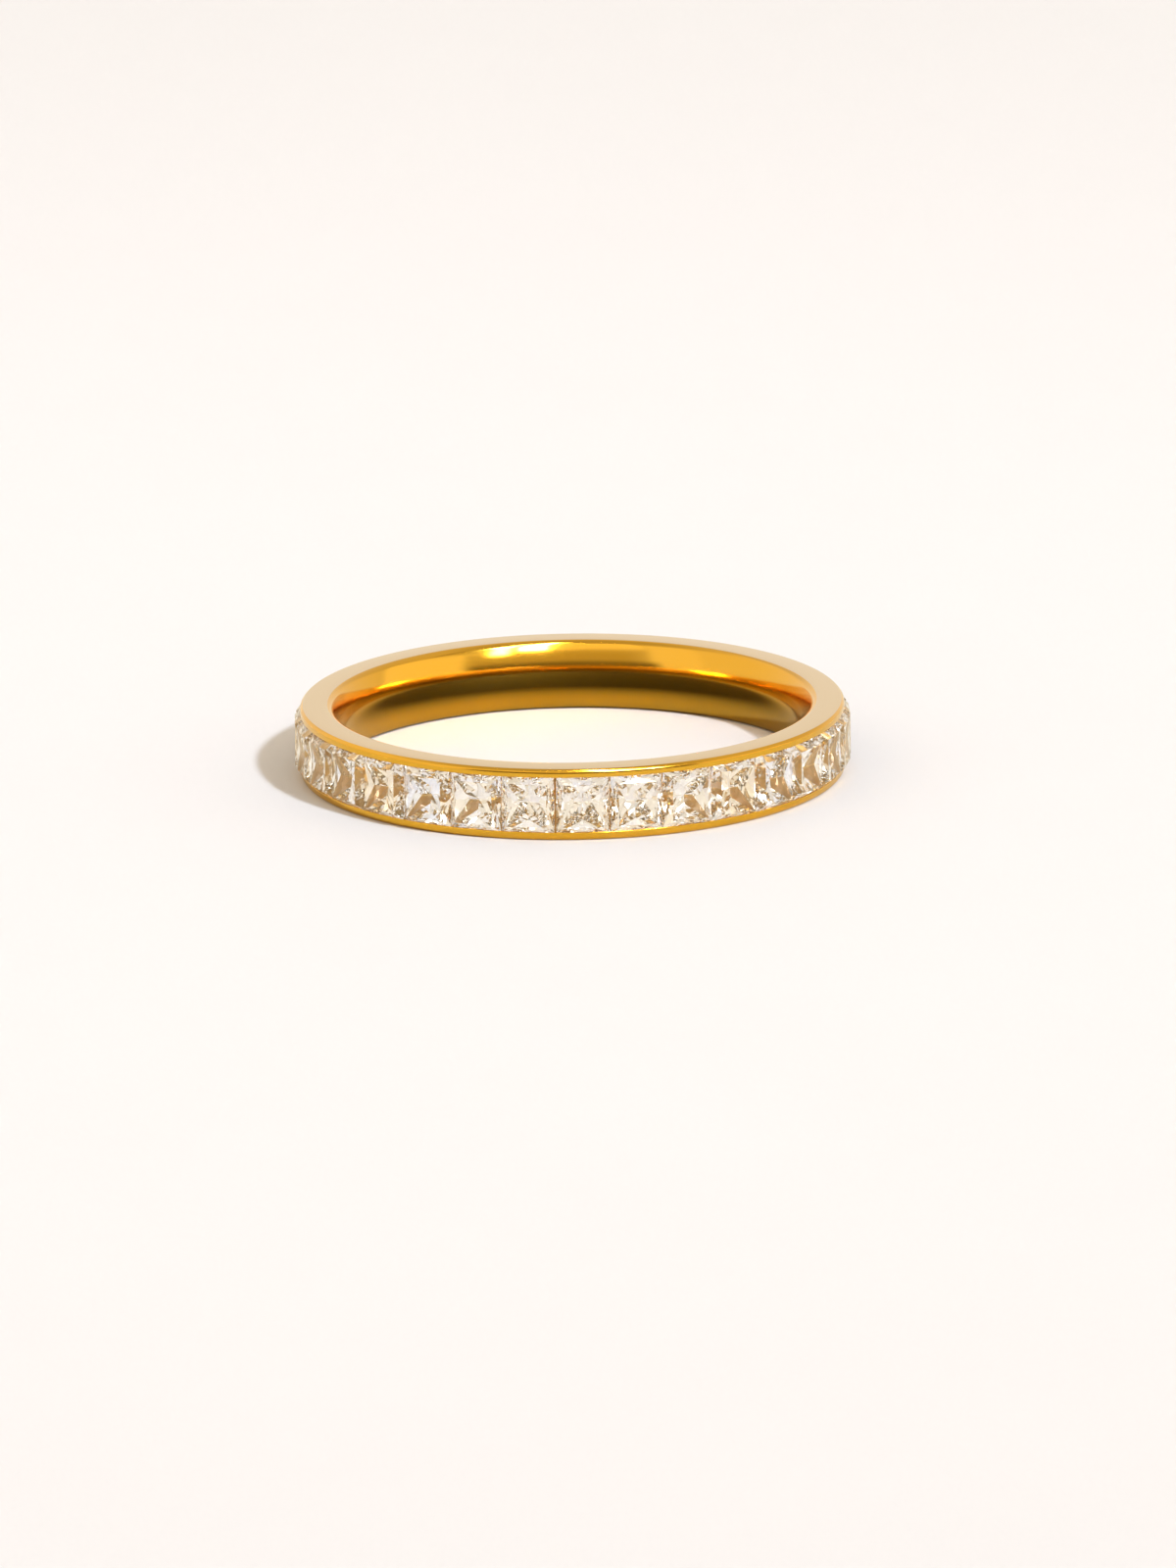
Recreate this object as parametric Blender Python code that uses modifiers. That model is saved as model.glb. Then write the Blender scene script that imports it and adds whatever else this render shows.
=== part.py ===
"""Stackable ring with a full row of square stones held between two gold rails.

The ring lies flat, as it would by itself on a table: its axis is +Z, its lower
rim rests on z = 0 and the axis passes through the origin. Lengths are in
metres. The front is -Y, where the first stone meets the last.

The band is one turned piece: two polished rails, the channel that the stones
sit in, and an inner wall that is domed so that it slides over a finger. The
stones are square brilliants that stand side by side in the channel with their
girdles tucked under the rails' lips.
"""

import math

import bmesh
import bpy

MM = 0.001

# Finger opening and wall
BORE_DIAMETER = 17.3 * MM
BAND_THICKNESS = 1.5 * MM
COMFORT_DOME_RADIUS = 2.75 * MM
INNER_EDGE_RADIUS = 0.30 * MM
RAIL_CHAMFER = 0.11 * MM

# Rails and the window between them
WINDOW_HEIGHT = 2.06 * MM
RAIL_HEIGHT = 0.31 * MM
LIP_THICKNESS = 0.055 * MM

# Stones
STONE_COUNT = 32
CROWN_HEIGHT = 0.32 * MM
GIRDLE_THICKNESS = 0.04 * MM
GIRDLE_TUCK = 0.035 * MM
CHANNEL_FLOOR_THICKNESS = 0.22 * MM

# Fits: the play around a stone, and the joints between one stone and the next
SETTING_CLEARANCE = 0.02 * MM
JOINT_GAP = 0.018 * MM
WIDE_JOINT_GAP = 0.060 * MM
WIDE_JOINTS = (0, 29)

# Shape of a stone. Reach is a share of the way from its middle to its side,
# depth a share of the pavilion's depth, height a share of the crown's height.
TABLE_REACH = 0.75
CROWN_BREAK = {"reach": 0.90, "height": 0.55}
PAVILION_BREAKS = (
    {"reach": 0.80, "depth": 0.30},
    {"reach": 0.58, "depth": 0.56},
    {"reach": 0.32, "depth": 0.80},
)

# Fineness of the turned band
BAND_STEPS = 96
DOME_SEGMENTS = 10
INNER_EDGE_SEGMENTS = 5
MERGE_DISTANCE = 0.0005 * MM

# Finishes
GOLD_COLOUR = (0.83, 0.53, 0.17, 1.0)
GOLD_ROUGHNESS = 0.12
STONE_COLOUR = (0.96, 0.95, 0.93, 1.0)
STONE_ROUGHNESS = 0.02
STONE_IOR = 2.15

# Radii and heights that follow from the sizes above
BORE_RADIUS = BORE_DIAMETER / 2
RAIL_RADIUS = BORE_RADIUS + BAND_THICKNESS
BAND_HEIGHT = WINDOW_HEIGHT + 2 * RAIL_HEIGHT
MID_HEIGHT = BAND_HEIGHT / 2

LIP_UNDERSIDE_RADIUS = RAIL_RADIUS - LIP_THICKNESS
GIRDLE_CORNER_RADIUS = LIP_UNDERSIDE_RADIUS - SETTING_CLEARANCE
CULET_RADIUS = BORE_RADIUS + CHANNEL_FLOOR_THICKNESS + SETTING_CLEARANCE


def joint_gap_angle(joint):
    """Angle that a joint between two stones takes up on the girdles' circle."""
    gap = WIDE_JOINT_GAP if joint in WIDE_JOINTS else JOINT_GAP
    return gap / GIRDLE_CORNER_RADIUS


# What the joints leave of the full turn is shared out evenly among the stones
ALL_JOINT_ANGLES = sum(joint_gap_angle(joint) for joint in range(STONE_COUNT))
STONE_ANGLE = (2 * math.pi - ALL_JOINT_ANGLES) / STONE_COUNT

GIRDLE_TOP_RADIUS = GIRDLE_CORNER_RADIUS * math.cos(STONE_ANGLE / 2)
GIRDLE_BOTTOM_RADIUS = GIRDLE_TOP_RADIUS - GIRDLE_THICKNESS
PAVILION_DEPTH = GIRDLE_BOTTOM_RADIUS - CULET_RADIUS
STONE_HALF_WIDTH = GIRDLE_BOTTOM_RADIUS * math.tan(STONE_ANGLE / 2)
STONE_HALF_LENGTH = WINDOW_HEIGHT / 2 + GIRDLE_TUCK


def clear_scene():
    """Removes the objects that the file opened with."""
    for item in list(bpy.data.objects):
        bpy.data.objects.remove(item, do_unlink=True)


def make_collection(name):
    """A new collection in the scene."""
    collection = bpy.data.collections.new(name)
    bpy.context.scene.collection.children.link(collection)
    return collection


def make_material(name, colour, roughness, metallic, ior=1.45, transmission=0.0):
    """A Principled BSDF finish."""
    material = bpy.data.materials.new(name)
    material.use_nodes = True
    shader = material.node_tree.nodes["Principled BSDF"]
    shader.inputs["Base Color"].default_value = colour
    shader.inputs["Roughness"].default_value = roughness
    shader.inputs["Metallic"].default_value = metallic
    shader.inputs["IOR"].default_value = ior
    shader.inputs["Transmission Weight"].default_value = transmission
    material.diffuse_color = colour
    return material


def gold_finish():
    """Polished yellow gold, the finish of the whole band."""
    return make_material("polished_gold", GOLD_COLOUR, GOLD_ROUGHNESS, metallic=1.0)


def stone_finish():
    """Clear, colourless stone."""
    return make_material(
        "clear_stone", STONE_COLOUR, STONE_ROUGHNESS, metallic=0.0, ior=STONE_IOR, transmission=1.0
    )


def arc(centre, radius, start, end, segments):
    """Points on an arc of the band's section, both ends included, as (radius, height)."""
    points = []
    for step in range(segments + 1):
        angle = start + (end - start) * step / segments
        points.append((centre[0] + radius * math.cos(angle), centre[1] + radius * math.sin(angle)))
    return points


def mirrored(points):
    """The same points in the other half of the band's section, in running order."""
    return [(radius, BAND_HEIGHT - height) for radius, height in reversed(points)]


def upper_outer_edge():
    """The rail's chamfered top edge, from the rim to its outside."""
    return [(RAIL_RADIUS - RAIL_CHAMFER, BAND_HEIGHT), (RAIL_RADIUS, BAND_HEIGHT - RAIL_CHAMFER)]


def upper_channel_side():
    """Upper half of the channel's section: lip, girdle groove, and the seat under the stones.

    The seat follows the stones' pavilions at the setting clearance.
    """
    window_edge = MID_HEIGHT + WINDOW_HEIGHT / 2
    groove_end = MID_HEIGHT + STONE_HALF_LENGTH + SETTING_CLEARANCE
    points = [
        (RAIL_RADIUS, window_edge),
        (LIP_UNDERSIDE_RADIUS, window_edge),
        (LIP_UNDERSIDE_RADIUS, groove_end),
        (GIRDLE_BOTTOM_RADIUS - SETTING_CLEARANCE, groove_end),
    ]
    for pavilion_break in PAVILION_BREAKS:
        depth = pavilion_break["depth"] * PAVILION_DEPTH
        reach = pavilion_break["reach"] * STONE_HALF_LENGTH
        seat_radius = GIRDLE_BOTTOM_RADIUS - depth - SETTING_CLEARANCE
        points.append((seat_radius, MID_HEIGHT + reach + SETTING_CLEARANCE))
    points.append((CULET_RADIUS - SETTING_CLEARANCE, MID_HEIGHT + SETTING_CLEARANCE))
    return points


def inner_wall():
    """The domed inner wall with its rounded edges, from the lower rim up to the upper rim."""
    edge_height = MID_HEIGHT - INNER_EDGE_RADIUS
    dome_centre = BORE_RADIUS + COMFORT_DOME_RADIUS
    centre_distance = COMFORT_DOME_RADIUS - INNER_EDGE_RADIUS
    dome_half_angle = math.asin(edge_height / centre_distance)
    edge_centre = dome_centre - centre_distance * math.cos(dome_half_angle)

    lower_edge = arc(
        (edge_centre, INNER_EDGE_RADIUS),
        INNER_EDGE_RADIUS,
        -math.pi / 2,
        -math.pi + dome_half_angle,
        INNER_EDGE_SEGMENTS,
    )
    dome = arc(
        (dome_centre, MID_HEIGHT),
        COMFORT_DOME_RADIUS,
        math.pi + dome_half_angle,
        math.pi - dome_half_angle,
        DOME_SEGMENTS,
    )
    return lower_edge + dome[1:-1] + mirrored(lower_edge)


def band_section():
    """Closed section of the band, down its outside and up its inner wall."""
    upper_half = upper_outer_edge() + upper_channel_side()
    return upper_half + mirrored(upper_half) + inner_wall()


def make_band(collection, finish):
    """The gold band, its section turned about the ring's axis."""
    section = [(radius, 0.0, height) for radius, height in band_section()]
    corners = range(len(section))
    edges = [(corner, (corner + 1) % len(section)) for corner in corners]

    mesh = bpy.data.meshes.new("band")
    mesh.from_pydata(section, edges, [])
    mesh.materials.append(finish)
    band = bpy.data.objects.new("band", mesh)
    collection.objects.link(band)

    turn = band.modifiers.new("turn", "SCREW")
    turn.axis = "Z"
    turn.angle = 2 * math.pi
    turn.screw_offset = 0.0
    turn.steps = BAND_STEPS
    turn.render_steps = BAND_STEPS
    turn.use_merge_vertices = True
    turn.merge_threshold = MERGE_DISTANCE
    turn.use_smooth_shade = True
    return band


def square_corners(half_width, half_length, height):
    """The four corners of a rectangle about the stone's axis."""
    return [
        (across * half_width, along * half_length, height)
        for across in (-1, 1)
        for along in (-1, 1)
    ]


def side_middles(half_width, half_length, height):
    """The four points above the middles of a rectangle's sides."""
    return [
        (half_width, 0.0, height),
        (-half_width, 0.0, height),
        (0.0, half_length, height),
        (0.0, -half_length, height),
    ]


def stone_corners():
    """Corners of a square brilliant, with the top of its girdle at height 0.

    A break at the middle of each side splits the crown into a triangle under
    the table, two kites and a triangle over the girdle. The breaks on the
    pavilion, joined to the girdle's corners, make the nested chevrons.
    """
    width, length = STONE_HALF_WIDTH, STONE_HALF_LENGTH
    corners = square_corners(width * TABLE_REACH, length * TABLE_REACH, CROWN_HEIGHT)

    reach = CROWN_BREAK["reach"]
    corners += side_middles(width * reach, length * reach, CROWN_HEIGHT * CROWN_BREAK["height"])

    corners += square_corners(width, length, 0.0)
    corners += square_corners(width, length, -GIRDLE_THICKNESS)

    for pavilion_break in PAVILION_BREAKS:
        reach = pavilion_break["reach"]
        height = -GIRDLE_THICKNESS - PAVILION_DEPTH * pavilion_break["depth"]
        corners += side_middles(width * reach, length * reach, height)

    corners.append((0.0, 0.0, -GIRDLE_THICKNESS - PAVILION_DEPTH))
    return corners


def make_stone_mesh(finish):
    """One faceted stone: x runs along the row, y across the band and z outward."""
    cut = bmesh.new()
    for corner in stone_corners():
        cut.verts.new(corner)
    bmesh.ops.convex_hull(cut, input=cut.verts)
    bmesh.ops.recalc_face_normals(cut, faces=cut.faces)

    mesh = bpy.data.meshes.new("stone")
    cut.to_mesh(mesh)
    cut.free()
    mesh.materials.append(finish)
    return mesh


def stone_angles():
    """Angle of each stone's middle about the ring's axis, counted from +X.

    Joint 0 is on the -Y side, and the row runs from there towards +X.
    """
    angles = []
    start = -math.pi / 2 + joint_gap_angle(0) / 2
    for stone in range(STONE_COUNT):
        angles.append(start + STONE_ANGLE / 2)
        start += STONE_ANGLE + joint_gap_angle(stone + 1)
    return angles


def make_stones(collection, finish):
    """The row of stones, side by side in the channel."""
    mesh = make_stone_mesh(finish)
    stones = []
    for number, angle in enumerate(stone_angles(), start=1):
        stone = bpy.data.objects.new(f"stone_{number:02d}", mesh)
        stone.location = (
            GIRDLE_TOP_RADIUS * math.cos(angle),
            GIRDLE_TOP_RADIUS * math.sin(angle),
            MID_HEIGHT,
        )
        stone.rotation_euler = (math.pi / 2, 0.0, math.pi / 2 + angle)
        collection.objects.link(stone)
        stones.append(stone)
    return stones


def main():
    """Builds the ring and hangs its pieces on one empty at the origin."""
    clear_scene()
    collection = make_collection("stackable_ring")
    centre = bpy.data.objects.new("ring_centre", None)
    collection.objects.link(centre)

    band = make_band(collection, gold_finish())
    stones = make_stones(collection, stone_finish())
    for piece in [band, *stones]:
        piece.parent = centre
    bpy.context.view_layer.update()


main()
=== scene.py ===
"""Looks of a stackable ring: a polished gold band with a full row of square-cut clear stones.

The ring lies on a pale table in a bright studio. Lengths are in metres, +Z is up and
the ring's axis is +Z. Azimuths in the studio are counted from the camera's side
towards its right.
"""

import logging
import math
import random
from dataclasses import dataclass, field
from enum import Enum

import bmesh
import bpy
from mathutils import Euler, Matrix, Vector


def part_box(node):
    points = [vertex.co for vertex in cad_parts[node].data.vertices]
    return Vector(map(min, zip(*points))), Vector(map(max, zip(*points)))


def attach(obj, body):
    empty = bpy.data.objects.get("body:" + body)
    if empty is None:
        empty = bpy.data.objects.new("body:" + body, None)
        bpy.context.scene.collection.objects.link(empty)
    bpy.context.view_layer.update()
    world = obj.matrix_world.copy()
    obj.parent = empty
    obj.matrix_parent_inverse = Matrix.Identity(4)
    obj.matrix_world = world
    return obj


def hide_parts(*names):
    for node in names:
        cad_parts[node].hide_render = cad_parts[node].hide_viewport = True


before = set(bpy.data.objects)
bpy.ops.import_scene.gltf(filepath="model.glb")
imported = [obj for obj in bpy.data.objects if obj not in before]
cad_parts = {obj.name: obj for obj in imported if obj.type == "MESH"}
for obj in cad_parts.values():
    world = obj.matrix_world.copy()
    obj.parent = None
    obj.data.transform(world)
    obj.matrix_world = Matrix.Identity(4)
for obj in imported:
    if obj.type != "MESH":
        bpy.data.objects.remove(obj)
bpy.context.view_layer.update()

MM = 0.001
ROOT = "root"
BAND_NODE = "band"
log = logging.getLogger("ring")

Colour = tuple[float, float, float]
Point2 = tuple[float, float]
BLACK: Colour = (0.0, 0.0, 0.0)

# Sockets of a Mix node that mixes colours
MIX_SHARE = 0
MIX_FIRST = 6
MIX_SECOND = 7
MIX_RESULT = 2

# Edges sharper than this stay sharp on a rounded piece
SHARP_ANGLE = math.radians(32)

# Breaks down the stones' pavilions, as (share of the way to a side, share of the depth).
# The band's seat follows them.
PAVILION_BREAKS = ((0.80, 0.30), (0.58, 0.56), (0.32, 0.80))


class Signal:
    """A node socket that is used like a number in a Python expression."""

    def __init__(self, graph: "Graph", socket: bpy.types.NodeSocket) -> None:
        """Keeps the socket and the graph that it belongs to."""
        self.graph = graph
        self.socket = socket

    def math(self, operation: str, *values: "Signal | float") -> "Signal":
        """Adds one Math node.

        Args:
            operation: the node's operation, such as "ADD".
            values: its inputs in order.

        Returns:
            The node's result.
        """
        node = self.graph.node("ShaderNodeMath", {"operation": operation}, dict(enumerate(values)))
        return Signal(self.graph, node.outputs[0])

    def __add__(self, other: "Signal | float") -> "Signal":
        """Sum."""
        return self.math("ADD", self, other)

    def __radd__(self, other: float) -> "Signal":
        """Sum, with the number first."""
        return self.math("ADD", other, self)

    def __sub__(self, other: "Signal | float") -> "Signal":
        """Difference."""
        return self.math("SUBTRACT", self, other)

    def __rsub__(self, other: float) -> "Signal":
        """Difference, with the number first."""
        return self.math("SUBTRACT", other, self)

    def __mul__(self, other: "Signal | float") -> "Signal":
        """Product."""
        return self.math("MULTIPLY", self, other)

    def __rmul__(self, other: float) -> "Signal":
        """Product, with the number first."""
        return self.math("MULTIPLY", other, self)

    def __abs__(self) -> "Signal":
        """Size without its sign."""
        return self.math("ABSOLUTE", self)

    def sqrt(self) -> "Signal":
        """Square root."""
        return self.math("SQRT", self)

    def arctan2(self, other: "Signal") -> "Signal":
        """Angle whose tangent is self over other, with both signs heeded."""
        return self.math("ARCTAN2", self, other)

    def wrapped(self, low: float, high: float) -> "Signal":
        """The value carried round into the range from low to high."""
        return self.math("WRAP", self, high, low)

    def ramp(self, low: float, high: float) -> "Signal":
        """Smooth step.

        Args:
            low: the value that gives 0.
            high: the value that gives 1.

        Returns:
            0 before low, 1 past high, and an S-curve between them.
        """
        node = self.graph.node(
            "ShaderNodeMapRange",
            {"interpolation_type": "SMOOTHSTEP", "clamp": True},
            {"Value": self, "From Min": low, "From Max": high, "To Min": 0.0, "To Max": 1.0},
        )
        return Signal(self.graph, node.outputs["Result"])

    def band(self, low: float, high: float, soft: float) -> "Signal":
        """Soft-edged window.

        Args:
            low: where the window starts.
            high: where it ends.
            soft: half the width of each edge.

        Returns:
            1 inside the window and 0 outside it.
        """
        return self.ramp(low - soft, low + soft) * (1 - self.ramp(high - soft, high + soft))


class Graph:
    """The node tree of one material or of the world."""

    def __init__(self, tree: bpy.types.NodeTree) -> None:
        """Starts from an empty tree."""
        tree.nodes.clear()
        self.tree = tree

    def node(self, kind: str, settings: dict | None = None, inputs: dict | None = None) -> bpy.types.Node:
        """Adds one node.

        Args:
            kind: the node's type.
            settings: its settings, which are set first.
            inputs: values or signals for its sockets, by name or by number.

        Returns:
            The new node.
        """
        node = self.tree.nodes.new(kind)
        for name, value in (settings or {}).items():
            setattr(node, name, value)
        for name, value in (inputs or {}).items():
            socket = node.inputs[name]
            if isinstance(value, Signal):
                self.tree.links.new(value.socket, socket)
            elif isinstance(value, tuple) and socket.type == "RGBA" and len(value) == 3:
                socket.default_value = (*value, 1.0)
            else:
                socket.default_value = value
        return node

    def blend(self, share: Signal | float, first: "Signal | Colour", second: "Signal | Colour") -> Signal:
        """Mixes two colours.

        Args:
            share: how much of the second colour shows, from 0 to 1.
            first: the colour at 0.
            second: the colour at 1.

        Returns:
            The mixed colour.
        """
        sockets = {MIX_SHARE: share, MIX_FIRST: first, MIX_SECOND: second}
        node = self.node("ShaderNodeMix", {"data_type": "RGBA"}, sockets)
        return Signal(self, node.outputs[MIX_RESULT])

    def noise(self, place: Signal, scale: float, detail: float = 2.0, roughness: float = 0.5) -> Signal:
        """Soft noise over a place.

        Args:
            place: where it is read.
            scale: blotches per metre.
            detail: how many finer layers it has.
            roughness: how strong the finer layers are.

        Returns:
            A value round 0.5.
        """
        node = self.node(
            "ShaderNodeTexNoise",
            {"noise_dimensions": "3D"},
            {"Vector": place, "Scale": scale, "Detail": detail, "Roughness": roughness},
        )
        return Signal(self, node.outputs[0])

    def parts(self, vector: Signal) -> tuple[Signal, Signal, Signal]:
        """The three parts of a vector."""
        node = self.node("ShaderNodeSeparateXYZ", inputs={0: vector})
        return tuple(Signal(self, output) for output in node.outputs)

    def vector(self, across: Signal | float, along: Signal | float, up: Signal | float) -> Signal:
        """A vector made from three parts."""
        node = self.node("ShaderNodeCombineXYZ", inputs={0: across, 1: along, 2: up})
        return Signal(self, node.outputs[0])

    def place(self) -> Signal:
        """The point's place in its object, in metres."""
        return Signal(self, self.node("ShaderNodeTexCoord").outputs["Object"])

    def bump(self, height: Signal, distance: float, strength: float = 1.0) -> Signal:
        """Relief.

        Args:
            height: the relief, from 0 to 1.
            distance: its real height in metres.
            strength: how much of it shows.

        Returns:
            The surface's new normal.
        """
        node = self.node(
            "ShaderNodeBump", inputs={"Height": height, "Distance": distance, "Strength": strength}
        )
        return Signal(self, node.outputs["Normal"])


@dataclass(frozen=True)
class GoldPolish:
    """Yellow gold plating: mirror-polished walls, rims turned to a soft satin and given a paler colour as
    a painted sheen, and a plain seat with a painted glow.
    """

    deep: Colour = (0.76, 0.405, 0.017)
    bright: Colour = (0.82, 0.465, 0.046)
    # Paler colour of the flat rims: a painted sheen
    rim: Colour = (0.725, 0.56, 0.31)
    seat: Colour = (0.62, 0.36, 0.09)
    # Painted glow: light that the seat gives off though it is no lamp
    seat_glow: Colour = (0.09, 0.056, 0.018)
    mirror_roughness: float = 0.10
    rim_roughness: float = 0.26
    seat_roughness: float = 0.32
    seat_slope: float = 0.5
    rim_mask: Point2 = (0.012 * MM, 0.003 * MM)
    mask_edge: float = 0.01 * MM
    wall_coat: float = 0.45
    coat_ior: float = 1.5
    coat_roughness: float = 0.03
    cloud_scale: float = 260.0
    wave_scale: float = 420.0
    wave_height: float = 0.004 * MM
    line_scale: float = 220.0
    line_stretch: tuple[float, float, float] = (60.0, 0.01, 60.0)
    line_height: float = 0.00035 * MM
    line_roughness: float = 0.05

    def material(self, half_height: float, half_window: float, seat_radii: Point2) -> bpy.types.Material:
        """Makes the finish.

        Args:
            half_height: half the band's height: its rims lie that far from its middle.
            half_window: half the height of the window between the lips.
            seat_radii: between which radii the channel's own finish shows, at the middle height.

        Returns:
            The material.
        """
        material = bpy.data.materials.new("polished_gold")
        material.use_nodes = True
        graph = Graph(material.node_tree)
        place = graph.place()
        x, y, z = graph.parts(place)
        radius = (x * x + y * y).sqrt()

        from_middle = abs(z - half_height)
        rim = from_middle.ramp(*(half_height - below for below in self.rim_mask))
        edge = self.mask_edge
        inner, outer = seat_radii
        seat = (radius - from_middle * self.seat_slope).ramp(inner - edge, inner + edge)
        seat = seat * (1 - radius.ramp(outer - edge, outer + edge))
        seat = seat * (1 - from_middle.ramp(half_window, half_window + 2 * edge))
        cloud = graph.noise(place, self.cloud_scale)
        waves = graph.noise(place, self.wave_scale, detail=1.0)
        outward, round_about, upward = self.line_stretch
        turned = graph.vector(radius * outward, y.arctan2(x) * round_about, z * upward)
        lines = graph.noise(turned, self.line_scale, detail=3.0)

        wall = graph.blend(cloud, self.deep, self.bright)
        # The flat rims take their paler colour, a painted sheen
        colour = graph.blend(seat, graph.blend(rim, wall, self.rim), self.seat)
        roughness = self.mirror_roughness + lines * self.line_roughness
        roughness = roughness + rim * (self.rim_roughness - self.mirror_roughness)
        roughness = roughness + seat * (self.seat_roughness - self.mirror_roughness)
        coat = (self.wall_coat + rim * (1.0 - self.wall_coat)) * (1 - seat)
        relief = waves + lines * (self.line_height / self.wave_height)
        shader = graph.node(
            "ShaderNodeBsdfPrincipled",
            inputs={
                "Base Color": colour,
                "Metallic": 1.0,
                "Roughness": roughness,
                "Coat Weight": coat,
                "Coat IOR": self.coat_ior,
                "Coat Roughness": self.coat_roughness,
                # Painted glow on the seat
                "Emission Color": graph.blend(seat, BLACK, self.seat_glow),
                "Emission Strength": 1.0,
                "Normal": graph.bump(relief, self.wave_height),
            },
        )
        graph.node("ShaderNodeOutputMaterial", inputs={"Surface": Signal(graph, shader.outputs[0])})
        return material


class Fire(Enum):
    """Tint that a facet gives to the light that it turns."""

    CLEAR = (1.0, 0.965, 0.89)
    WARM = (1.0, 0.89, 0.70)
    COOL = (0.92, 0.95, 1.0)


@dataclass(frozen=True)
class StonePolish:
    """Clear, colourless stone with a high refraction, a trace of fire and a painted warm tint on its
    surface reflections.
    """

    ior: float = 2.15
    roughness: float = 0.0
    haze: float = 0.012
    cloud_scale: float = 900.0
    # Painted reflection: warms what the stones' surfaces mirror, as if they mirrored gold
    painted_warm_reflection: Colour = (1.0, 0.86, 0.62)
    fire_attribute: str = "fire"
    warm_from: Point2 = (0.72, 0.86)
    cool_from: Point2 = (0.28, 0.14)

    def material(self) -> bpy.types.Material:
        """Makes the finish.

        Returns:
            The material, tinted facet by facet.
        """
        material = bpy.data.materials.new("clear_stone")
        material.use_nodes = True
        graph = Graph(material.node_tree)
        fire = graph.node("ShaderNodeAttribute", {"attribute_name": self.fire_attribute})
        share = Signal(graph, fire.outputs["Fac"])
        cloud = graph.noise(graph.place(), self.cloud_scale)
        warm = graph.blend(share.ramp(*self.warm_from), Fire.CLEAR.value, Fire.WARM.value)
        tint = graph.blend(share.ramp(*self.cool_from), warm, Fire.COOL.value)
        shader = graph.node(
            "ShaderNodeBsdfPrincipled",
            inputs={
                "Base Color": tint,
                "Roughness": self.roughness + cloud * self.haze,
                "IOR": self.ior,
                "Transmission Weight": 1.0,
                "Specular Tint": self.painted_warm_reflection,
            },
        )
        graph.node("ShaderNodeOutputMaterial", inputs={"Surface": Signal(graph, shader.outputs[0])})
        return material


@dataclass(frozen=True)
class TablePaint:
    """Matt white board, a little darker far from the ring, with a painted reflection: what the metal
    mirrors of it is painted dark, nearly black inside the ring.
    """

    light: Colour = (0.757, 0.742, 0.743)
    dark: Colour = (0.743, 0.728, 0.729)
    far: Colour = (0.676, 0.664, 0.657)
    far_radii: Point2 = (25 * MM, 210 * MM)
    # Painted reflection: colours that the board shows only to glossy rays, nearly black in the ring's
    # middle and dimmed round it
    painted_reflection_middle: Colour = (0.012, 0.010, 0.007)
    painted_reflection_inside: Colour = (0.38, 0.37, 0.28)
    painted_reflection_outside: Colour = (0.68, 0.64, 0.52)
    inside_radii: Point2 = (6.9 * MM, 8.7 * MM)
    outside_radii: Point2 = (9.4 * MM, 10.6 * MM)
    roughness: float = 0.85
    specular: float = 0.2
    mottle_scale: float = 90.0
    grain_scale: float = 2600.0
    grain_height: float = 0.006 * MM
    grain_strength: float = 0.3

    def material(self) -> bpy.types.Material:
        """Makes the finish.

        Returns:
            The material, very faintly mottled.
        """
        material = bpy.data.materials.new("warm_white_board")
        material.use_nodes = True
        graph = Graph(material.node_tree)
        place = graph.place()
        x, y, _ = graph.parts(place)
        distance = (x * x + y * y).sqrt()
        mottle = graph.noise(place, self.mottle_scale, detail=3.0)
        grain = graph.noise(place, self.grain_scale)
        near = graph.blend(mottle, self.dark, self.light)
        board = graph.blend(distance.ramp(*self.far_radii), near, self.far)
        inside = distance.ramp(*self.inside_radii)
        outside = distance.ramp(*self.outside_radii)
        # Painted reflection: the dark colours that the metal mirrors of the board
        mirrored = graph.blend(inside, self.painted_reflection_middle, self.painted_reflection_inside)
        mirrored = graph.blend(outside, mirrored, self.painted_reflection_outside)
        # Glossy rays that do not pass through a stone see the painted reflection instead of the board
        path = graph.node("ShaderNodeLightPath")
        glossy = Signal(graph, path.outputs["Is Glossy Ray"])
        through = Signal(graph, path.outputs["Is Transmission Ray"])
        shader = graph.node(
            "ShaderNodeBsdfPrincipled",
            inputs={
                "Base Color": graph.blend(glossy * (1 - through), board, mirrored),
                "Roughness": self.roughness,
                "Specular IOR Level": self.specular,
                "Normal": graph.bump(grain, self.grain_height, self.grain_strength),
            },
        )
        graph.node("ShaderNodeOutputMaterial", inputs={"Surface": Signal(graph, shader.outputs[0])})
        return material


class Shading(Enum):
    """How a piece's faces meet."""

    FACETED = "faceted"
    ROUNDED = "rounded"


def finished_piece(
    name: str, mesh: bpy.types.Mesh, material: bpy.types.Material, shading: Shading
) -> bpy.types.Object:
    """Makes an object from a mesh and shades it.

    Args:
        name: the object's name.
        mesh: its mesh.
        material: its only material.
        shading: how its faces meet.

    Returns:
        The object, linked to the scene.
    """
    mesh.materials.clear()
    mesh.materials.append(material)
    if shading is Shading.ROUNDED:
        mesh.shade_smooth()
        mesh.set_sharp_from_angle(angle=SHARP_ANGLE)
    else:
        mesh.shade_flat()
    piece = bpy.data.objects.new(name, mesh)
    bpy.context.scene.collection.objects.link(piece)
    return piece


def arc(centre: Point2, radius: float, start: float, end: float, segments: int) -> list[Point2]:
    """Points on an arc of a section.

    Args:
        centre: its middle, as (radius, height).
        radius: its radius.
        start: angle of its first point, in degrees.
        end: angle of its last point, in degrees.
        segments: number of chords.

    Returns:
        The points, both ends included.
    """
    points = []
    for step in range(segments + 1):
        angle = math.radians(start + (end - start) * step / segments)
        points.append((centre[0] + radius * math.cos(angle), centre[1] + radius * math.sin(angle)))
    return points


@dataclass(frozen=True)
class RailStretch:
    """A stretch of the rail's side.

    Over its length, its outward normal sinks from one slope to another, in degrees above level.
    """

    start: float
    end: float
    length: float
    steps: int


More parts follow.
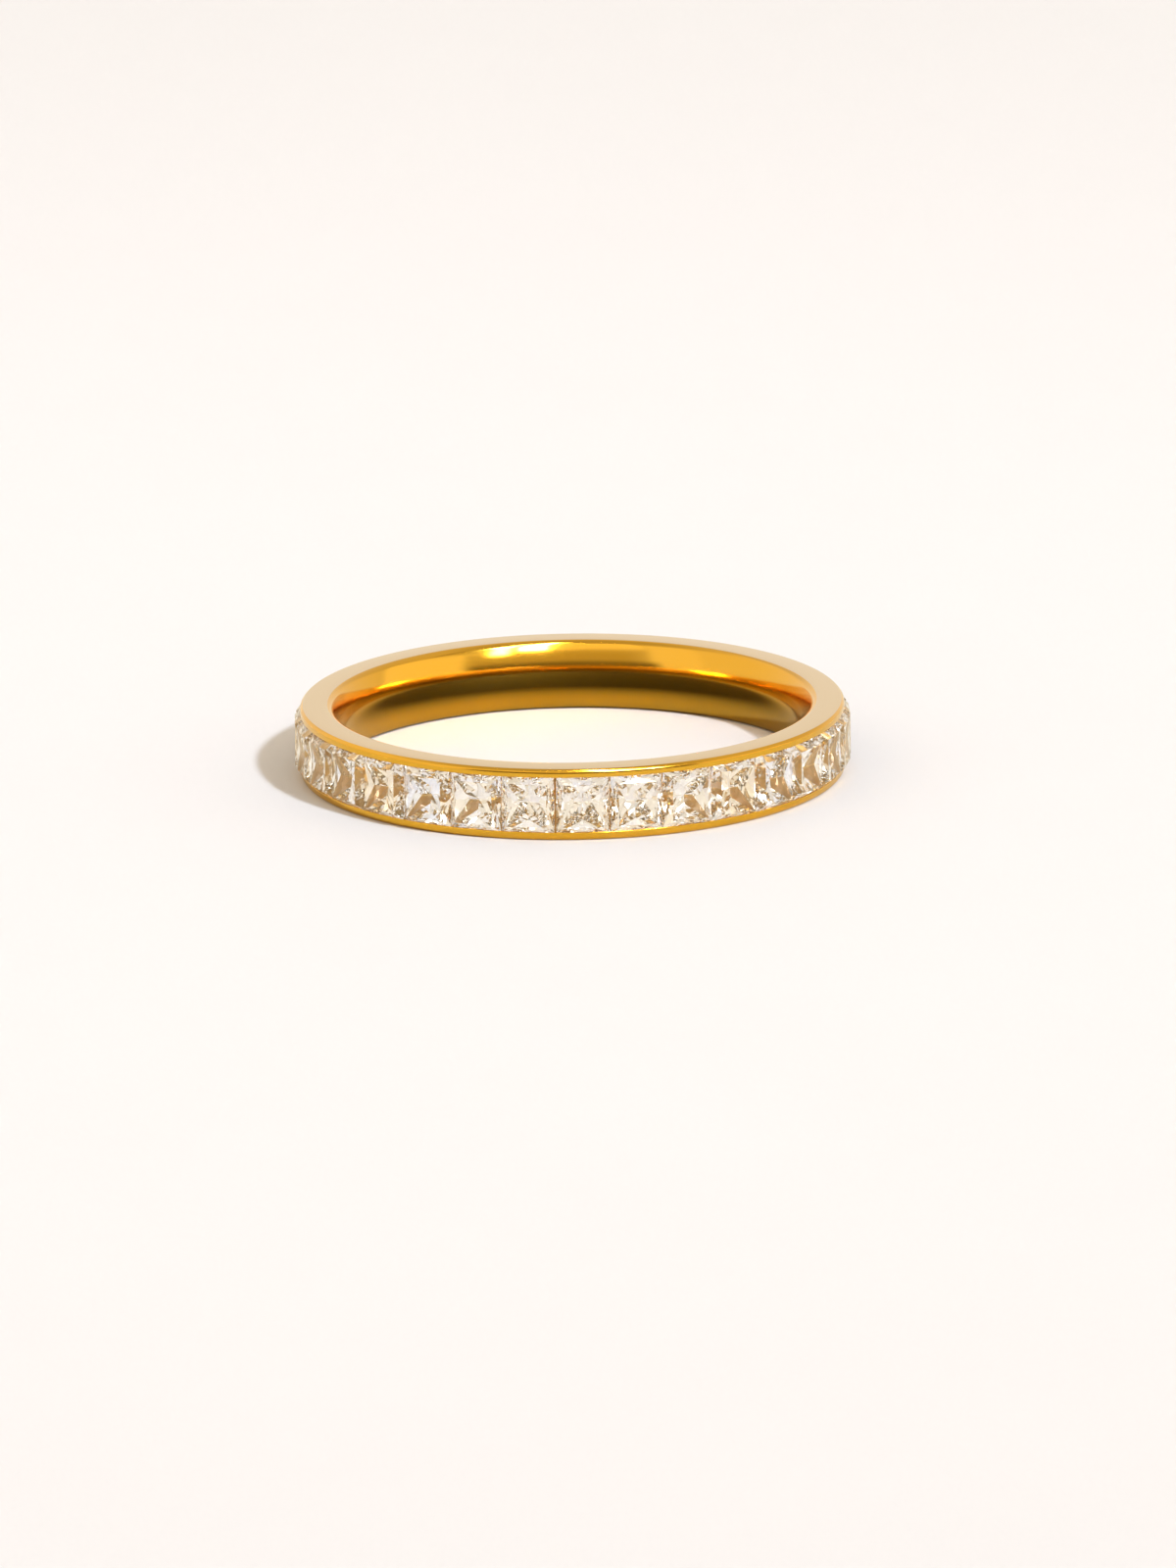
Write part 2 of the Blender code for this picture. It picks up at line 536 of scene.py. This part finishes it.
@dataclass
class PolishedBand:
    """The turned gold band: two rails, the channel between them and the domed inner wall."""

    bore_radius: float = 8.65 * MM
    dome_radius: float = 2.75 * MM
    inner_edge_radius: float = 0.30 * MM
    rail_stretches: tuple[RailStretch, ...] = (
        RailStretch(90.0, 54.0, 0.020 * MM, 3),
        RailStretch(54.0, 38.0, 0.115 * MM, 5),
        RailStretch(38.0, 11.0, 0.034 * MM, 4),
        RailStretch(11.0, 7.5, 0.055 * MM, 4),
        RailStretch(4.0, -3.0, 0.105 * MM, 3),
    )
    rail_height: float = 0.31 * MM
    lip_thickness: float = 0.055 * MM
    lip_round: float = 0.016 * MM
    groove_depth: float = 0.055 * MM
    groove_floor_radius: float = 9.9675 * MM
    channel_floor_radius: float = 8.87 * MM
    lip_segments: int = 3
    inner_edge_segments: int = 14
    dome_segments: int = 40
    steps: int = 384
    polish: GoldPolish = field(default_factory=GoldPolish)

    def __post_init__(self) -> None:
        """Takes the outer size and the height from the frame."""
        low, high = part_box(BAND_NODE)
        self.outer_radius = high.x
        self.height = high.z - low.z
        self.middle = self.height / 2

    def rail_side(self) -> list[Point2]:
        """Outside of the upper rail: a soft chamfer, its crease and the face, down to the lip.

        Returns:
            The points, found by walking from the rim outward and down.
        """
        points = [(0.0, self.height)]
        for stretch in self.rail_stretches:
            part = stretch.length / stretch.steps
            turn = (stretch.end - stretch.start) / stretch.steps
            for step in range(stretch.steps):
                normal = math.radians(stretch.start + turn * (step + 0.5))
                radius, height = points[-1]
                points.append((radius + part * math.sin(normal), height - part * math.cos(normal)))
        widest = max(radius for radius, _ in points)
        moved = [(radius + self.outer_radius - widest, height) for radius, height in points]
        window = self.height - self.rail_height
        centre = (moved[-1][0] - self.lip_round, window + self.lip_round)
        return moved + arc(centre, self.lip_round, 0, -90, self.lip_segments)

    def channel_side(self) -> list[Point2]:
        """Upper half of the channel: the lip's underside, the girdles' groove and the seat.

        Returns:
            The points, from the lip in to the channel's floor.
        """
        window = self.height - self.rail_height
        underside = self.outer_radius - self.lip_thickness
        groove = window + self.groove_depth
        floor = self.channel_floor_radius
        points = [(underside, window), (underside, groove), (self.groove_floor_radius, groove)]
        for reach, depth in PAVILION_BREAKS:
            points.append(
                (
                    self.groove_floor_radius + (floor - self.groove_floor_radius) * depth,
                    self.middle + (groove - self.middle) * reach,
                )
            )
        points.append((floor, self.middle + self.groove_depth / 2))
        return points

    def mirrored(self, points: list[Point2]) -> list[Point2]:
        """The same points in the other half of the section."""
        return [(radius, self.height - height) for radius, height in reversed(points)]

    def inner_wall(self) -> list[Point2]:
        """The domed inner wall and its rounded edges.

        Returns:
            The points, from the lower rim up to the upper rim.
        """
        edge = self.inner_edge_radius
        dome_centre = self.bore_radius + self.dome_radius
        reach = self.dome_radius - edge
        half = math.degrees(math.asin((self.middle - edge) / reach))
        edge_centre = dome_centre - reach * math.cos(math.radians(half))
        lower = arc((edge_centre, edge), edge, -90, -180 + half, self.inner_edge_segments)
        middle = (dome_centre, self.middle)
        dome = arc(middle, self.dome_radius, 180 + half, 180 - half, self.dome_segments)
        return lower + dome[1:-1] + self.mirrored(lower)

    def section(self) -> list[Point2]:
        """The whole closed section, down its outside and up its inner wall."""
        upper = self.rail_side() + self.channel_side()
        return upper + self.mirrored(upper) + self.inner_wall()

    def build(self) -> bpy.types.Object:
        """Turns the section about the ring's axis.

        Returns:
            The finished piece.
        """
        turned = bmesh.new()
        corners = [turned.verts.new((radius, 0.0, height)) for radius, height in self.section()]
        edges = [turned.edges.new(pair) for pair in zip(corners, corners[1:] + corners[:1])]
        bmesh.ops.spin(
            turned,
            geom=corners + edges,
            cent=(0, 0, 0),
            axis=(0, 0, 1),
            angle=2 * math.pi,
            steps=self.steps,
            use_merge=True,
        )
        bmesh.ops.recalc_face_normals(turned, faces=turned.faces)
        mesh = bpy.data.meshes.new("polished_band")
        turned.to_mesh(mesh)
        turned.free()

        inside = (self.bore_radius + self.channel_floor_radius) / 2
        channel = (inside, self.outer_radius - self.lip_thickness)
        half_window = self.middle - self.rail_height + self.groove_depth
        material = self.polish.material(self.middle, half_window, channel)
        piece = finished_piece("polished_band", mesh, material, Shading.ROUNDED)
        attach(piece, ROOT)
        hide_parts(BAND_NODE)
        return piece


@dataclass
class SquareCut:
    """Proportions of a square brilliant. Reaches are shares of the way to a side."""

    table_reach: float = 0.75
    crown_reach: float = 0.90
    crown_height: float = 0.55
    flat_angle: float = math.radians(0.5)


@dataclass
class StoneRow:
    """The full row of square stones, each its own piece, in the channel."""

    count: int = 32
    cut: SquareCut = field(default_factory=SquareCut)
    polish: StonePolish = field(default_factory=StonePolish)
    half_width: float = 0.9734 * MM
    half_length: float = 1.065 * MM
    crown: float = 0.32 * MM
    girdle: float = 0.04 * MM
    pavilion: float = 1.0975 * MM
    girdle_corner_radius: float = 10.075 * MM
    joint: float = 0.018 * MM
    wide_joint: float = 0.060 * MM
    wide_joints: tuple[int, ...] = (0, 29)
    tilt: float = math.radians(0.8)
    twist: float = math.radians(0.35)
    break_play: float = 0.02
    seed: int = 11

    def __post_init__(self) -> None:
        """Shares out what the joints leave of the full turn, and takes the height from the frame."""
        joints = sum(self.joint_angle(joint) for joint in range(self.count))
        self.stone_angle = (2 * math.pi - joints) / self.count
        self.girdle_radius = self.girdle_corner_radius * math.cos(self.stone_angle / 2)
        low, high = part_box(BAND_NODE)
        self.middle = (low.z + high.z) / 2

    def joint_angle(self, joint: int) -> float:
        """Angle that a joint between two stones takes up."""
        gap = self.wide_joint if joint in self.wide_joints else self.joint
        return gap / self.girdle_corner_radius

    def angles(self) -> list[float]:
        """Places the stones round the axis.

        Returns:
            The angle of each stone's middle, counted from +X.
        """
        angles = []
        start = -math.pi / 2 + self.joint_angle(0) / 2
        for stone in range(self.count):
            angles.append(start + self.stone_angle / 2)
            start += self.stone_angle + self.joint_angle(stone + 1)
        return angles

    def corners(self, chance: random.Random) -> list[Vector]:
        """Corners of one stone, with small differences from its neighbours.

        Args:
            chance: the row's random numbers.

        Returns:
            Points with x along the row, y across the band and z outward from the girdle's top.
        """
        width, length = self.half_width, self.half_length
        signs = [(across, along) for across in (-1, 1) for along in (-1, 1)]
        sides = [(1, 0), (-1, 0), (0, 1), (0, -1)]
        table = self.cut.table_reach + chance.uniform(-1, 1) * self.break_play
        points = [Vector((a * width * table, b * length * table, self.crown)) for a, b in signs]
        reach = self.cut.crown_reach
        rise = self.crown * self.cut.crown_height
        points += [Vector((a * width * reach, b * length * reach, rise)) for a, b in sides]
        points += [Vector((a * width, b * length, 0.0)) for a, b in signs]
        points += [Vector((a * width, b * length, -self.girdle)) for a, b in signs]
        for reach, depth in PAVILION_BREAKS:
            for a, b in sides:
                played = reach + chance.uniform(-1, 1) * self.break_play
                points.append(
                    Vector((a * width * played, b * length * played, -self.girdle - self.pavilion * depth))
                )
        points.append(Vector((0.0, 0.0, -self.girdle - self.pavilion)))
        return points

    def stone_mesh(self, name: str, chance: random.Random) -> bpy.types.Mesh:
        """The faceted mesh of one stone, with the fire of each facet kept as an attribute.

        Args:
            name: the mesh's name.
            chance: the row's random numbers.

        Returns:
            The mesh, in the stone's own axes.
        """
        cut = bmesh.new()
        for corner in self.corners(chance):
            cut.verts.new(corner)
        bmesh.ops.convex_hull(cut, input=cut.verts)
        bmesh.ops.dissolve_limit(cut, angle_limit=self.cut.flat_angle, verts=cut.verts, edges=cut.edges)
        bmesh.ops.recalc_face_normals(cut, faces=cut.faces)
        mesh = bpy.data.meshes.new(name)
        cut.to_mesh(mesh)
        cut.free()
        fire = mesh.attributes.new(self.polish.fire_attribute, "FLOAT", "FACE")
        for facet in fire.data:
            facet.value = chance.random()
        return mesh

    def build(self) -> list[bpy.types.Object]:
        """Cuts and sets every stone.

        Returns:
            The stones, in the order of the row.
        """
        chance = random.Random(self.seed)
        material = self.polish.material()
        stones = []
        for number, angle in enumerate(self.angles(), start=1):
            name = f"cut_stone_{number:02d}"
            mesh = self.stone_mesh(name, chance)
            play = Euler(
                (
                    chance.uniform(-1, 1) * self.tilt,
                    chance.uniform(-1, 1) * self.tilt,
                    chance.uniform(-1, 1) * self.twist,
                )
            )
            across = self.girdle_radius * math.cos(angle)
            along = self.girdle_radius * math.sin(angle)
            set_in = Matrix.Translation((across, along, self.middle))
            facing = Euler((math.pi / 2, 0.0, math.pi / 2 + angle)).to_matrix().to_4x4()
            mesh.transform(set_in @ facing @ play.to_matrix().to_4x4())
            stone = finished_piece(name, mesh, material, Shading.FACETED)
            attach(stone, ROOT)
            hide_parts(f"stone_{number:02d}")
            stones.append(stone)
        return stones


@dataclass
class TableTop:
    """The pale board that the ring lies on."""

    radius: float = 0.95
    drop: float = 0.002 * MM
    segments: int = 128
    paint: TablePaint = field(default_factory=TablePaint)

    def build(self) -> bpy.types.Object:
        """Cuts the board.

        Returns:
            A round board, not attached to the ring.
        """
        disc = bmesh.new()
        bmesh.ops.create_circle(disc, cap_ends=True, segments=self.segments, radius=self.radius)
        bmesh.ops.translate(disc, verts=disc.verts, vec=(0, 0, -self.drop))
        mesh = bpy.data.meshes.new("table_top")
        disc.to_mesh(mesh)
        disc.free()
        board = finished_piece("table_top", mesh, self.paint.material(), Shading.FACETED)
        return board


class SkyTint(Enum):
    """Tints of the studio's walls and lamps."""

    PEARL = (1.0, 0.95, 0.90)
    CREAM = (1.0, 0.87, 0.70)
    HONEY = (1.0, 0.82, 0.55)


@dataclass(frozen=True)
class SkyPatch:
    """A soft-edged field of the studio's surroundings, in degrees, with its own brightness and tint."""

    name: str
    azimuth: float
    width: float
    low: float
    high: float
    soft: float
    brightness: float
    tint: SkyTint = SkyTint.CREAM

    def colour(self) -> Colour:
        """The field's light."""
        return tuple(self.brightness * part for part in self.tint.value)

    def share(self, elevation: Signal, azimuth: Signal) -> Signal:
        """How much of the field shows in a direction.

        Args:
            elevation: the direction's degrees above the horizon.
            azimuth: its degrees from the camera's side towards its right.

        Returns:
            1 inside the field and 0 outside it, with soft edges.
        """
        share = elevation.band(self.low, self.high, self.soft)
        if self.width < 360.0:
            offset = abs((azimuth - self.azimuth).wrapped(-180.0, 180.0))
            share = share * (1 - offset.ramp(self.width / 2 - self.soft, self.width / 2 + self.soft))
        return share


@dataclass
class Studio:
    """Camera, surroundings and lamps."""

    azimuth: float = 3.78
    elevation: float = 14.56
    roll: float = 0.79
    distance: float = 412 * MM
    pixels_per_metre: float = 27.38 / MM
    frame_size: tuple[int, int] = (1200, 1600)
    ring_pixel: Point2 = (583.7, 713.9)
    sensor: float = 36.0
    clip: Point2 = (0.01, 4.0)

    backdrop: Colour = (0.98, 0.935, 0.895)
    plain: Colour = (0.82, 0.71, 0.57)
    stone_fill: Colour = (1.0, 0.915, 0.80)
    stone_fill_share: float = 0.8
    patches: tuple[SkyPatch, ...] = (
        SkyPatch("overhead", 0.0, 360.0, 62.0, 95.0, 8.0, 0.62),
        SkyPatch("horizon_behind", 180.0, 150.0, -20.0, 22.0, 8.0, 1.0),
        SkyPatch("left_wall", -95.0, 100.0, 0.0, 50.0, 9.0, 1.1),
        SkyPatch("left_window", -54.0, 28.0, 4.0, 46.0, 3.0, 1.2),
        SkyPatch("front_gloom", 8.0, 84.0, -20.0, 26.0, 7.0, 0.66, SkyTint.HONEY),
        SkyPatch("front_foot", 4.0, 96.0, -20.0, 10.0, 4.0, 0.22, SkyTint.HONEY),
        SkyPatch("front_softbox", -8.0, 62.0, 29.0, 58.0, 3.0, 1.35),
        SkyPatch("right_window", 80.0, 50.0, 4.0, 28.0, 3.0, 1.3),
        SkyPatch("right_gloom", 66.0, 26.0, 31.0, 66.0, 4.0, 0.56, SkyTint.HONEY),
    )
    lamps: tuple[SkyPatch, ...] = (
        SkyPatch("strip_lamp", 20.0, 14.0, 29.0, 76.0, 2.0, 45.0, SkyTint.PEARL),
        SkyPatch("key_halo", 37.0, 9.0, 24.0, 68.0, 3.0, 22.0, SkyTint.PEARL),
    )
    key_azimuth: float = 40.0
    key_elevation: float = 43.5
    key_angle: float = 5.0
    key_strength: float = 2.16
    key_colour: Colour = (1.0, 1.14, 1.35)

    def direction(self, azimuth: float, elevation: float) -> Vector:
        """Direction towards a place in the studio.

        Args:
            azimuth: degrees from the camera's side towards its right.
            elevation: degrees above the horizon.

        Returns:
            The unit vector, in the ring's frame.
        """
        turn = math.radians(self.azimuth + azimuth)
        rise = math.radians(elevation)
        return Vector((math.sin(turn) * math.cos(rise), -math.cos(turn) * math.cos(rise), math.sin(rise)))

    def surroundings(self) -> None:
        """Dresses the world: soft fields of light to the ring, and a plain backdrop to the camera."""
        world = bpy.data.worlds.new("studio")
        world.use_nodes = True
        bpy.context.scene.world = world
        graph = Graph(world.node_tree)
        ray = Signal(graph, graph.node("ShaderNodeTexCoord").outputs["Generated"])
        x, y, z = graph.parts(ray)
        elevation = z.math("ARCSINE", z) * math.degrees(1)
        azimuth = x.arctan2(0.0 - y) * math.degrees(1) - self.azimuth

        light = self.plain
        for patch in self.patches:
            light = graph.blend(patch.share(elevation, azimuth), light, patch.colour())
            light.socket.node.label = patch.name

        path = graph.node("ShaderNodeLightPath")
        seen = Signal(graph, path.outputs["Is Camera Ray"])
        through = Signal(graph, path.outputs["Is Transmission Ray"])
        mirrored = Signal(graph, path.outputs["Is Glossy Ray"])
        for lamp in self.lamps:
            shine = lamp.share(elevation, azimuth) * (mirrored + through)
            light = graph.blend(shine, light, lamp.colour())
            light.socket.node.label = lamp.name
        light = graph.blend(through * self.stone_fill_share, light, self.stone_fill)
        colour = graph.blend(seen, light, self.backdrop)
        shader = graph.node("ShaderNodeBackground", inputs={"Color": colour, "Strength": 1.0})
        graph.node("ShaderNodeOutputWorld", inputs={"Surface": Signal(graph, shader.outputs[0])})

    def key_lamp(self) -> bpy.types.Object:
        """Sets up the small, strong lamp that throws the shadow.

        Returns:
            The lamp.
        """
        lamp = bpy.data.lights.new("key_lamp", "SUN")
        lamp.energy = self.key_strength
        lamp.angle = math.radians(self.key_angle)
        lamp.color = self.key_colour
        key = bpy.data.objects.new("key_lamp", lamp)
        towards = self.direction(self.key_azimuth, self.key_elevation)
        key.rotation_mode = "QUATERNION"
        key.rotation_quaternion = towards.to_track_quat("Z", "Y")
        key.location = towards * self.distance
        bpy.context.scene.collection.objects.link(key)
        return key

    def camera(self, target: Vector) -> bpy.types.Object:
        """Sets the camera at the photo's angle.

        Args:
            target: the ring's point that ring_pixel shows.

        Returns:
            The camera.
        """
        back = self.direction(0.0, self.elevation)
        right = Vector((0, 0, 1)).cross(back).normalized()
        up = back.cross(right)
        turn = math.radians(self.roll)
        level_right, level_up = right, up
        right = level_right * math.cos(turn) - level_up * math.sin(turn)
        up = level_right * math.sin(turn) + level_up * math.cos(turn)

        across = (self.frame_size[0] / 2 - self.ring_pixel[0]) / self.pixels_per_metre
        down = (self.frame_size[1] / 2 - self.ring_pixel[1]) / self.pixels_per_metre
        place = target + back * self.distance
        aim = target + right * across - up * down
        back = (place - aim).normalized()
        right = up.cross(back).normalized()
        up = back.cross(right)

        lens = bpy.data.cameras.new("camera")
        lens.sensor_width = self.sensor
        lens.lens = self.pixels_per_metre * self.distance * self.sensor / max(self.frame_size)
        lens.clip_start, lens.clip_end = self.clip
        camera = bpy.data.objects.new("camera", lens)
        camera.matrix_world = Matrix.Translation(place) @ Matrix((right, up, back)).transposed().to_4x4()
        bpy.context.scene.collection.objects.link(camera)
        bpy.context.scene.camera = camera
        return camera

    def light_paths(self) -> None:
        """Lets light turn often enough inside the stones, and keeps plain display colours."""
        scene = bpy.context.scene
        scene.cycles.max_bounces = 24
        scene.cycles.glossy_bounces = 16
        scene.cycles.transmission_bounces = 20
        scene.cycles.diffuse_bounces = 4
        scene.cycles.sample_clamp_indirect = 12.0
        scene.view_settings.view_transform = "Standard"


def main() -> None:
    """Builds the ring, the table and the studio, in that order."""
    logging.basicConfig(level=logging.INFO, format="%(message)s")
    band = PolishedBand()
    piece = band.build()
    log.info("%s: %d faces", piece.name, len(piece.data.polygons))
    for stone in StoneRow().build():
        log.info("%s: %d facets", stone.name, len(stone.data.polygons))
    board = TableTop().build()
    log.info("%s laid", board.name)

    studio = Studio()
    studio.surroundings()
    studio.key_lamp()
    studio.light_paths()
    studio.camera(Vector((0.0, 0.0, band.height)))
    log.info("studio set")


if __name__ == "__main__":
    main()
